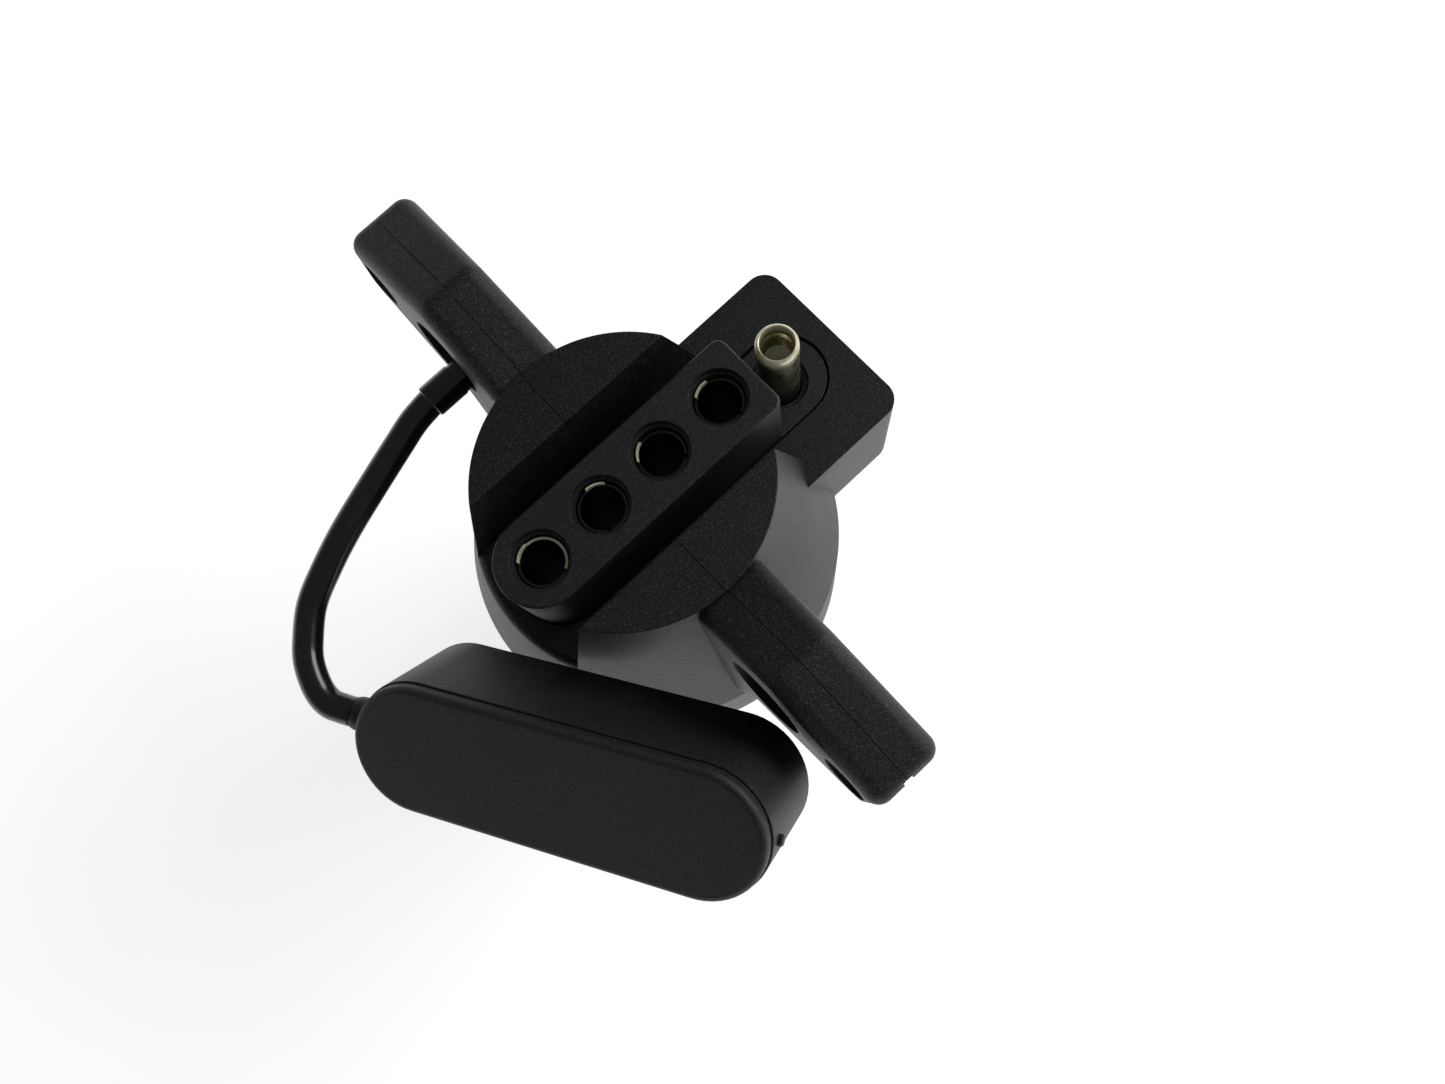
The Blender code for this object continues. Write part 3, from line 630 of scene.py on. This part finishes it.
def flat_insert():
    """Platform, lip and stem, then the socket block, then the holes down through all."""
    base = []
    for grow, low, high in ((0, INSERT_LIP[1] - 0.5, PLATFORM), (LIP_REACH, *INSERT_LIP),
                            (-STEM_INSET, STEM_FOOT, INSERT_LIP[0] + 0.5)):
        outline = stadium(FIRST_SOCKET_X, PLATFORM_END_X, INSERT_HALF_WIDTH + grow)
        base.append(prism("insert", outline, low, high))
    round_edges(base[0], 0.25, 3, lambda p: p.z > PLATFORM - 0.1)
    corner_x, corner_y = BLOCK_END_X - BLOCK_CORNER_R, INSERT_HALF_WIDTH - BLOCK_CORNER_R
    outline = arc(FIRST_SOCKET_X, 0, INSERT_HALF_WIDTH, 90, 270, 32)
    outline += arc(corner_x, -corner_y, BLOCK_CORNER_R, -90, 0, 8)
    outline += arc(corner_x, corner_y, BLOCK_CORNER_R, 0, 90, 8)
    socket_block = prism("socket_block", outline, PLATFORM - 1.0, BLOCK_TOP)
    round_edges(socket_block, 0.4, 4, lambda p: p.z > BLOCK_TOP - 0.1)
    insert = fuse(*base, socket_block)
    tail_hole = [(0, STEM_FOOT - 4), (TAIL_HOLE_R, STEM_FOOT - 4)]
    mouth = [(4.25, BLOCK_TOP - 1.0), (4.25, BLOCK_TOP - 0.15), (4.4, BLOCK_TOP + 0.05),
             (4.4, BLOCK_TOP + 2), (0, BLOCK_TOP + 2)]
    socket = tail_hole + [(TAIL_HOLE_R, 66.2), (SOCKET_HOLE_R, 66.2), (SOCKET_HOLE_R, BLOCK_TOP - 1.0)]
    for i in range(SOCKETS):
        carve(insert, move(turned("socket", socket + mouth, 64), FIRST_SOCKET_X + i * PITCH))
    pin_hole = tail_hole + [(TAIL_HOLE_R, 62.0), (PIN_HOLE_R, 62.0), (PIN_HOLE_R, 67.7), (4.3, 67.7),
                            (4.5, PLATFORM + 0.05), (4.5, BLOCK_TOP + 2), (0, BLOCK_TOP + 2)]
    carve(insert, move(turned("pin_hole", pin_hole, 64), PIN_X))
    return clean(insert)


insert_plastic = moulded_material("insert_plastic", dark=(0.0085, 0.0092, 0.0102),
                                  light=(0.042, 0.045, 0.050), roughness=(0.46, 0.54),
                                  grain=5600.0, depth=0.00008, smudge=80.0)
set_piece(flat_insert(), "flat_insert_moulding", insert_plastic, "adapter", "insert_plastic", "flat_insert")


# ---------------------------------------------------------------- flat contacts
# Each socket is a barrel rolled from thin tinned sheet, with a seam down one side and a tab
# left standing opposite, whose sheared end shows the bright tin. Below its rim the tin is painted
# dark, as painted shade for the inside of the holes. The bare ground pin is a hollow
# bullet, turned from brass and tinned, with a stepped bore.
def tin_material(name, painted_shade_colour, fade):
    """Tinned brass that is bright, a little chalky and spotted with tarnish at its top end, and
    below that carries painted shade: a dark colour that stands in for the shade inside the holes.
    Fade holds the heights of that change."""
    surface = bpy.data.materials.new(name)
    surface.use_nodes = True
    tree = surface.node_tree
    shader = tree.nodes["Principled BSDF"]
    n = add_nodes(tree, place="ShaderNodeTexCoord", height="ShaderNodeSeparateXYZ",
                  rubbed="ShaderNodeMapRange", metal="ShaderNodeMapRange", blend="ShaderNodeMix",
                  tarnish="ShaderNodeTexNoise", colour="ShaderNodeValToRGB", marks="ShaderNodeGroup",
                  gloss="ShaderNodeMapRange", lathe="ShaderNodeTexWave", bump="ShaderNodeBump")
    n["rubbed"].inputs["From Min"].default_value = fade[0] * MM
    n["rubbed"].inputs["From Max"].default_value = fade[1] * MM
    n["metal"].inputs["To Min"].default_value = 1.0
    n["metal"].inputs["To Max"].default_value = 0.35
    n["blend"].data_type = "RGBA"
    # A is the painted shade colour, used below the fade heights in place of the shade in the holes.
    n["blend"].inputs["A"].default_value = (*painted_shade_colour, 1.0)
    n["tarnish"].inputs["Scale"].default_value = 420.0
    n["tarnish"].inputs["Detail"].default_value = 5.0
    n["colour"].color_ramp.elements[0].position = 0.30
    n["colour"].color_ramp.elements[0].color = (0.50, 0.45, 0.26, 1.0)
    n["colour"].color_ramp.elements[1].position = 0.62
    n["colour"].color_ramp.elements[1].color = (0.86, 0.83, 0.62, 1.0)
    n["marks"].node_tree = HANDLING_MARKS
    n["marks"].inputs["Smudge Size"].default_value = 300.0
    n["marks"].inputs["Rub Size"].default_value = 4000.0
    n["gloss"].inputs["To Min"].default_value = 0.24
    n["gloss"].inputs["To Max"].default_value = 0.42
    n["lathe"].bands_direction = "Z"
    n["lathe"].inputs["Scale"].default_value = 2500.0
    n["lathe"].inputs["Distortion"].default_value = 1.5
    n["bump"].inputs["Strength"].default_value = 0.25
    n["bump"].inputs["Distance"].default_value = 0.00002
    wire_up(tree,
            (n["place"].outputs["Object"], n["height"].inputs["Vector"]),
            (n["height"].outputs["Z"], n["rubbed"].inputs["Value"]),
            (n["rubbed"].outputs["Result"], n["metal"].inputs["Value"]),
            (n["rubbed"].outputs["Result"], n["blend"].inputs["Factor"]),
            (n["metal"].outputs["Result"], shader.inputs["Metallic"]),
            (n["place"].outputs["Object"], n["tarnish"].inputs["Vector"]),
            (n["place"].outputs["Object"], n["lathe"].inputs["Vector"]),
            (n["tarnish"].outputs["Fac"], n["colour"].inputs["Fac"]),
            (n["colour"].outputs["Color"], n["blend"].inputs["B"]),
            (n["blend"].outputs["Result"], shader.inputs["Base Color"]),
            (n["marks"].outputs["Mask"], n["gloss"].inputs["Value"]),
            (n["gloss"].outputs["Result"], shader.inputs["Roughness"]),
            (n["lathe"].outputs["Fac"], n["bump"].inputs["Height"]),
            (n["bump"].outputs["Normal"], shader.inputs["Normal"]))
    return surface


# Both tins are painted darker below their fade heights: painted shade inside the socket barrels, and in the
# pin's bore and round its stem.
tin_with_painted_shade = tin_material("tin_with_painted_shade", (0.055, 0.052, 0.046), (82.10, 82.40))
pin_tin = tin_material("pin_tin", (0.36, 0.345, 0.235), (81.8, 83.8))


TAIL_FOOT, TAIL_R = 56.0, 1.3
tail_end = [(0, TAIL_FOOT), (TAIL_R, TAIL_FOOT)]


def socket_contact(tab_angle, proud):
    """A rolled barrel. Proud lifts one side of its rim, as on a sheet that was rolled askew."""
    outer, inner, foot, floor, rim, tab, tab_half_width = 3.55, 3.2, 66.5, 68.0, 82.0, 83.0, 1.4
    curl = [(outer, 80.6), (outer, tab - 0.06), (outer - 0.05, tab), (inner + 0.02, tab), (inner, tab - 0.06)]
    profile = tail_end + [(TAIL_R, foot), (outer, foot)] + curl + [(inner, floor), (0, floor)]
    contact = turned("contact", profile, 72)
    for side, level in ((-1, rim + proud), (1, rim)):
        for left, right, near in ((-5, 0, 0.0), (-1, 5, tab_half_width)):
            low, high = sorted((side * near, side * 5))
            carve(contact, block((left, low, level), (right, high, 90)))
    carve(contact, block((-5, -0.3, 70.5), (0, 0.3, 90)))
    return turn(clean(contact), tab_angle, "Z")


circuits = {"reverse": (116, 0.35), "right": (66, 0.0), "left": (134, 0.0), "tail": (106, 0.0)}
for i, (circuit, (tab_angle, proud)) in enumerate(circuits.items()):
    contact = move(socket_contact(tab_angle, proud), FIRST_SOCKET_X + i * PITCH)
    set_piece(contact, "flat_socket_" + circuit, tin_with_painted_shade, "adapter", "tinned_contact",
              "socket_contact_" + circuit)

PIN_R, PIN_FOOT = 3.2, 62.3
bullet = [(PIN_R, 83.6), (3.1, 84.0), (2.85, 84.4), (2.7, 84.5), (2.55, 84.4), (2.45, 82.2), (2.1, 81.8)]
pin_profile = tail_end + [(TAIL_R, PIN_FOOT), (PIN_R, PIN_FOOT)] + bullet + [(2.1, 78.4), (0, 77.8)]
set_piece(move(turned("pin", pin_profile, 96), PIN_X), "ground_pin", pin_tin, "adapter", "tinned_contact",
          "pin_contact_ground")


# ---------------------------------------------------------------- plug end
# The plug's round carrier is a black moulding with a slot for each of the six blades of the
# vehicle's socket and a round hole for its centre pin. Folded brass strips grip the blades.
SLOT_RING_R = 13.2
SLOT_LENGTH, SLOT_WIDTH, SLOT_DEPTH = 9.8, 3.4, 27.0
SLOTS = 6
BLADES = {"ground": -30, "tail": -150, "left": -90, "right": 90}
CARRIER_FOOT, CARRIER_TOP, CARRIER_R = 1.0, 37.0, 19.6
LUG_HOLE_R, CENTRE_HOLE_R = 1.5, 3.6


def blade_slot(grow, top):
    reach, half = SLOT_WIDTH / 2 + grow, SLOT_LENGTH / 2 + grow
    return block((SLOT_RING_R - reach, -half, -1), (SLOT_RING_R + reach, half, top))


def plug_carrier():
    """A turned disc whose flange sits in the housing's groove, cut by slots and holes."""
    edge, chamfer, above = 0.5, 0.5, CARRIER_TOP + 3
    flange_r, flange_foot, flange_top = (GROOVE_R - CLEARANCE, GROOVE_FOOT + CLEARANCE,
                                         GROOVE_TOP - CLEARANCE)
    profile = [(0, CARRIER_FOOT)] + arc(CARRIER_R - edge, CARRIER_FOOT + edge, edge, -90, 0, 4)
    profile += [(CARRIER_R, flange_foot), (flange_r, flange_foot), (flange_r, flange_top),
                (CARRIER_R, flange_top), (CARRIER_R, CARRIER_TOP), (0, CARRIER_TOP)]
    carrier = turned("carrier", profile, 120)
    for i in range(SLOTS):
        hole = move(rod(LUG_HOLE_R, SLOT_DEPTH - 1, above, 32), SLOT_RING_R)
        for tool in (blade_slot(chamfer, CARRIER_FOOT + chamfer), blade_slot(0, SLOT_DEPTH), hole):
            carve(carrier, turn(tool, 30 + 360 / SLOTS * i, "Z"))
    centre = [(0, -1), (CENTRE_HOLE_R + 0.7, -1), (CENTRE_HOLE_R + 0.7, CARRIER_FOOT),
              (CENTRE_HOLE_R, CARRIER_FOOT + 0.7), (CENTRE_HOLE_R, SLOT_DEPTH),
              (LUG_HOLE_R, SLOT_DEPTH), (LUG_HOLE_R, above), (0, above)]
    carve(carrier, turned("centre", centre, 64))
    return clean(carrier)


carrier_plastic = moulded_material("carrier_plastic", dark=(0.013, 0.013, 0.014),
                                   light=(0.027, 0.027, 0.029), roughness=(0.40, 0.55),
                                   grain=3000.0, depth=0.00005)
set_piece(plug_carrier(), "plug_carrier", carrier_plastic, "adapter", "insulator_plastic", "plug_insulator")


def brass_material():
    surface = bpy.data.materials.new("rolled_brass")
    surface.use_nodes = True
    tree = surface.node_tree
    shader = tree.nodes["Principled BSDF"]
    shader.inputs["Metallic"].default_value = 1.0
    n = add_nodes(tree, place="ShaderNodeTexCoord", rolling="ShaderNodeMapping",
                  streak="ShaderNodeTexNoise", colour="ShaderNodeValToRGB", gloss="ShaderNodeMapRange")
    n["rolling"].inputs["Scale"].default_value = (1.0, 1.0, 0.1)
    n["streak"].inputs["Scale"].default_value = 2200.0
    n["streak"].inputs["Detail"].default_value = 3.0
    n["colour"].color_ramp.elements[0].color = (0.42, 0.27, 0.09, 1.0)
    n["colour"].color_ramp.elements[1].color = (0.83, 0.63, 0.30, 1.0)
    n["gloss"].inputs["To Min"].default_value = 0.22
    n["gloss"].inputs["To Max"].default_value = 0.42
    wire_up(tree,
            (n["place"].outputs["Object"], n["rolling"].inputs["Vector"]),
            (n["rolling"].outputs["Vector"], n["streak"].inputs["Vector"]),
            (n["streak"].outputs["Fac"], n["colour"].inputs["Fac"]),
            (n["streak"].outputs["Fac"], n["gloss"].inputs["Value"]),
            (n["colour"].outputs["Color"], shader.inputs["Base Color"]),
            (n["gloss"].outputs["Result"], shader.inputs["Roughness"]))
    return surface


rolled_brass = brass_material()
LUG_TOP, LUG_R = 39.5, 1.1


def blade_grip():
    """A strip folded over a round bend, its two leaves pinched together near the mouth."""
    leaf, bend, top, foot, half_length = 0.5, 1.3, 25.4, 4.5, 4.3
    outer = [(-1.25, foot), (-0.95, 7.0), (-1.2, 12.0), (-bend, 18.0)] + arc(0, top, bend, 180, 90, 8)
    inner = [(x + leaf, y) for x, y in outer[:4]] + arc(0, top, bend - leaf, 180, 90, 8)
    outer += [(-x, y) for x, y in reversed(outer[:-1])]
    inner += [(-x, y) for x, y in reversed(inner[:-1])]
    strip = turn(prism("fold", outer + inner[::-1], -half_length, half_length), 90, "X")
    return fuse(strip, rod(LUG_R, top + bend - leaf / 2, LUG_TOP, 32))


for circuit, angle in BLADES.items():
    grip = turn(move(blade_grip(), SLOT_RING_R), angle, "Z")
    set_piece(grip, "blade_grip_" + circuit, rolled_brass, "adapter", "contact_brass",
              "blade_contact_" + circuit)

tube = [(0, 24.0), (2.6, 24.0), (2.6, 4.4), (2.85, 4.0), (3.1, 4.0), (3.3, 4.3), (3.3, 26.7)]
centre_profile = tube + [(LUG_R, 26.7), (LUG_R, LUG_TOP), (0, LUG_TOP)]
set_piece(turned("centre", centre_profile, 64), "centre_socket", rolled_brass, "adapter", "contact_brass",
          "centre_contact_reverse")


# ---------------------------------------------------------------- wires
# Five insulated wires join the flat contacts' solder tails to the plug's lugs, in the trade's
# own colours, and stop just short of both. They are sealed inside the housing.
WIRE_R = 1.1


def insulation(name, colour):
    pale = tuple(min(1.0, c * 1.25 + 0.01) for c in colour)
    return moulded_material(name, colour, pale, roughness=(0.30, 0.42), grain=1200.0, depth=0.00001)


def insulated_wire_tree():
    """Geometry Nodes: a round skin with closed ends along a line of joined points."""
    tree = bpy.data.node_groups.new("insulated_wire", "GeometryNodeTree")
    for label, kind in (("Route", "NodeSocketGeometry"), ("Radius", "NodeSocketFloat"),
                        ("Sides", "NodeSocketInt"), ("Insulation", "NodeSocketMaterial")):
        tree.interface.new_socket(label, in_out="INPUT", socket_type=kind)
    tree.interface.new_socket("Wire", in_out="OUTPUT", socket_type="NodeSocketGeometry")
    n = add_nodes(tree, given="NodeGroupInput", line="GeometryNodeMeshToCurve",
                  ring="GeometryNodeCurvePrimitiveCircle", skin="GeometryNodeCurveToMesh",
                  real="GeometryNodeRealizeInstances", coloured="GeometryNodeSetMaterial",
                  result="NodeGroupOutput")
    n["skin"].inputs["Fill Caps"].default_value = True
    wire_up(tree,
            (n["given"].outputs["Route"], n["line"].inputs["Mesh"]),
            (n["given"].outputs["Radius"], n["ring"].inputs["Radius"]),
            (n["given"].outputs["Sides"], n["ring"].inputs["Resolution"]),
            (n["line"].outputs["Curve"], n["skin"].inputs["Curve"]),
            (n["ring"].outputs["Curve"], n["skin"].inputs["Profile Curve"]),
            (n["skin"].outputs["Mesh"], n["real"].inputs["Geometry"]),
            (n["real"].outputs["Geometry"], n["coloured"].inputs["Geometry"]),
            (n["given"].outputs["Insulation"], n["coloured"].inputs["Material"]),
            (n["coloured"].outputs["Geometry"], n["result"].inputs["Wire"]))
    return tree


def made_by_nodes(item, tree, **values):
    """Runs a tree on an object with its inputs set by name, and keeps the plain mesh."""
    step = item.modifiers.new("shape", "NODES")
    step.node_group = tree
    sockets = {s.name: s.identifier for s in tree.interface.items_tree if s.in_out == "INPUT"}
    for label, value in values.items():
        step[sockets[label]] = value
    view = bpy.context.evaluated_depsgraph_get()
    mesh = bpy.data.meshes.new_from_object(item.evaluated_get(view))
    item.modifiers.clear()
    item.data = mesh
    return item


def wire_route(start_x, end, sideways):
    """Straight down off the solder tail, an S over to the lug with a bow, and straight on."""
    high, low, steps, straight = TAIL_FOOT - CLEARANCE, LUG_TOP + CLEARANCE, 24, 0.8
    route = [(start_x, 0, high)]
    for i in range(steps + 1):
        t = i / steps
        ease = t * t * (3 - 2 * t)
        bow = sideways * math.sin(math.pi * ease)
        drop = straight + (high - low - 2 * straight) * t
        route.append((start_x + (end[0] - start_x) * ease, end[1] * ease + bow, high - drop))
    return route + [(*end, low)]


def wires():
    tree = insulated_wire_tree()
    ring = {name: (SLOT_RING_R * math.cos(math.radians(a)), SLOT_RING_R * math.sin(math.radians(a)))
            for name, a in BLADES.items()}
    runs = {"reverse": ("purple", (0.22, 0.05, 0.33), (0.0, 0.0), 0.0),
            "right": ("green", (0.02, 0.30, 0.07), ring["right"], 0.0),
            "left": ("yellow", (0.75, 0.55, 0.03), ring["left"], -3.0),
            "tail": ("brown", (0.16, 0.07, 0.03), ring["tail"], 0.8),
            "ground": ("white", (0.75, 0.75, 0.73), ring["ground"], 0.0)}
    for i, (circuit, (hue, colour, lug, sideways)) in enumerate(runs.items()):
        route = wire_route(FIRST_SOCKET_X + i * PITCH, lug, sideways)
        mesh = bpy.data.meshes.new("lead_" + circuit)
        mesh.from_pydata([Vector(p) * MM for p in route], [(k, k + 1) for k in range(len(route) - 1)], [])
        surface = insulation("insulation_" + hue, colour)
        wire = made_by_nodes(link("lead", mesh), tree, Radius=WIRE_R * MM, Sides=20, Insulation=surface)
        set_piece(wire, "lead_" + circuit, surface, "adapter", "wire_" + hue, "wire_" + circuit)


wires()


# ---------------------------------------------------------------- dust cap
# A soft oblong cap of fine-grained elastomer for the socket block and pin. Its wall is lofted
# in one skin from the face, over the step where the mould's two halves met, round the rim and
# into the hollow. Its end carries the knuckle that the tether is moulded to.
CAP_HALF_CENTRES, CAP_HALF_WIDTH, CAP_CAVITY_HALF_WIDTH = 21.0, 9.65, 7.1
CAP_DEPTH, CAP_FACE = 17.8, 2.4
CAP_SEAL_BEAD, CAP_GATE = (-13.2, 0.9, 0.25), -4.6
CAP_PLACE = (-35.35, -24.1, 84.2)
CAP_TURN = (30.1, -11.1, -57.8)
KNUCKLE_ALONG, KNUCKLE_BELOW, KNUCKLE_R = -33.2, -6.0, 2.5


def lofted(name, levels, half_centres, half_width, steps=28):
    """A closed skin through oblong outlines, one for each (outward growth, height)."""
    bm = bmesh.new()
    loops = []
    for grow, z in levels:
        outline = stadium(-half_centres, half_centres, half_width + grow, steps)
        loops.append([bm.verts.new((x * MM, y * MM, z * MM)) for x, y in outline])
    for lower, upper in zip(loops, loops[1:]):
        for i in range(len(lower)):
            j = (i + 1) % len(lower)
            bm.faces.new((lower[i], lower[j], upper[j], upper[i]))
    bm.faces.new(loops[0])
    bm.faces.new(loops[-1])
    return from_bmesh(name, bm)


def dust_cap():
    face_edge = [(-1.25 + x, -1.0 + y) for x, y in arc(0, 0, 1.0, 90, 0, 8)]
    mould_step = [(-0.25, -1.85), (-0.42, -1.92), (-0.42, -2.06), (-0.10, -2.08), (-0.01, -2.16)]
    rim = [(-0.02, 0.9 - CAP_DEPTH)]
    rim += [(-0.42 + x, 0.4 - CAP_DEPTH + y) for x, y in arc(0, 0, 0.4, 0, -90, 5)]
    inner = CAP_CAVITY_HALF_WIDTH - CAP_HALF_WIDTH
    bead_foot, bead_width, bead_height = CAP_SEAL_BEAD
    hollow = [(inner + 0.5, -CAP_DEPTH), (inner, -CAP_DEPTH + 0.6), (inner, bead_foot)]
    hollow += [(inner - bead_height * math.sin(math.pi * k / 6), bead_foot + bead_width * k / 6)
               for k in range(1, 7)]
    hollow += [(inner, -CAP_FACE - 0.8)]
    hollow += [(inner - 0.8 + x, -CAP_FACE - 0.8 + y) for x, y in arc(0, 0, 0.8, 20, 90, 4)]
    levels = [(-3.0, 0.0)] + face_edge + mould_step + rim + hollow
    shell = lofted("cap", levels, CAP_HALF_CENTRES, CAP_HALF_WIDTH)
    knuckle_profile = [(0, -KNUCKLE_R)] + arc(0, 0, KNUCKLE_R, -75, 55, 14)
    neck_end = -CAP_HALF_CENTRES - CAP_HALF_WIDTH + 1.5 - KNUCKLE_ALONG
    knuckle_profile += [(1.5, 2.6), (1.9, neck_end), (0, neck_end)]
    knuckle = turn(turned("knuckle", knuckle_profile, 48), 90, "Y")
    move(knuckle, KNUCKLE_ALONG, 0, KNUCKLE_BELOW)
    gate = turn(turned("gate", [(0, -1), (0.8, -1), (0.8, 0.4), (0.55, 0.6), (0, 0.6)], 24), 90, "Y")
    move(gate, CAP_HALF_CENTRES + CAP_HALF_WIDTH, 0, CAP_GATE)
    fuse(shell, knuckle, gate)
    turned_to = Euler([math.radians(a) for a in CAP_TURN]).to_matrix().to_4x4()
    place(shell, Matrix.Translation(Vector(CAP_PLACE) * MM) @ turned_to)
    return clean(shell)


cap_elastomer = moulded_material("cap_elastomer", dark=(0.0060, 0.0060, 0.0064),
                                 light=(0.032, 0.032, 0.033), roughness=(0.50, 0.60),
                                 grain=5600.0, depth=0.00009, smudge=35.0)
dust_cap_piece = set_piece(dust_cap(), "dust_cap_moulding", cap_elastomer, "cap", "cap_rubber", "dust_cap")
